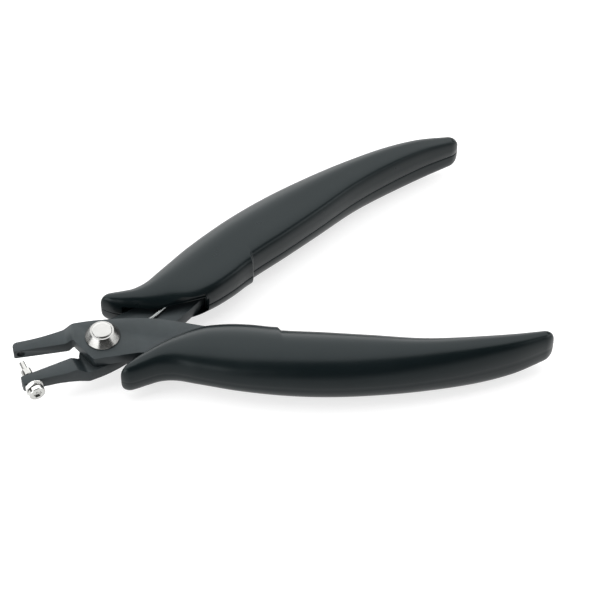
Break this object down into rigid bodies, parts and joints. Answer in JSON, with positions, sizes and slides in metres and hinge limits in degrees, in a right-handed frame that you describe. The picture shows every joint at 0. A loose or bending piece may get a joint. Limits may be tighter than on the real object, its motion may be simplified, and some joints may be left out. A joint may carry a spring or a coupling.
{
  "type": "hole punch pliers",
  "caption": "Hand pliers with riveted black steel jaws, a screw-in punch pin and die hole, a return spring and long contoured charcoal grips.",
  "frame": {"origin": "centre of the rivet's flat tail, on the pivot axis", "axes": "+Z along the pivot axis towards the domed rivet head, +X midway between the two handles away from the jaws, near handle on -Y and far handle on +Y"},
  "size_m": [0.1333, 0.0772, 0.0146],
  "materials": {
    "black_steel": "matt black oxide on stamped steel",
    "grip_plastic": "charcoal soft-touch moulded plastic",
    "nickel": "bright nickel plate",
    "spring_steel": "drawn spring wire"
  },
  "bodies": {
    "near_lever": {"upper_blade": "black_steel", "near_grip": "grip_plastic", "pivot_rivet": "nickel", "head_washer": "nickel", "tail_washer": "nickel", "return_spring": "spring_steel"},
    "far_lever": {"lower_blade": "black_steel", "far_grip": "grip_plastic", "punch_holder": "nickel"},
    "pin": {"punch_pin": "nickel"},
    "screw": {"backing_screw": "nickel"},
    "nut": {"lock_nut": "nickel"}
  },
  "joints": [
    {"name": "lever_pivot", "type": "hinge", "parent": "near_lever", "child": "far_lever", "pos_m": [0, 0, 0.0053], "axis": [0, 0, -1], "range_deg": [0, 13.4], "stiffness_Nm_per_rad": 1.28, "springref_deg": -6.7, "deforming": ["return_spring"]},
    {"name": "pin_setback", "type": "slide", "parent": "far_lever", "child": "pin", "axis": [-0.1323, 0.9912, 0], "range_m": [-0.001, 0]},
    {"name": "backing_screw_turn", "type": "hinge", "parent": "pin", "child": "screw", "pos_m": [-0.02022, -0.00875, 0.0053], "axis": [-0.1323, 0.9912, 0], "range_deg": [-801, 0]},
    {"name": "lock_nut_turn", "type": "hinge", "parent": "far_lever", "child": "nut", "pos_m": [-0.02027, -0.00835, 0.0053], "axis": [-0.1323, 0.9912, 0], "range_deg": [-60, 0]}
  ],
  "couplings": [
    {"joint": "backing_screw_turn", "follows": "pin_setback", "rad_per_m": 13963}
  ]
}
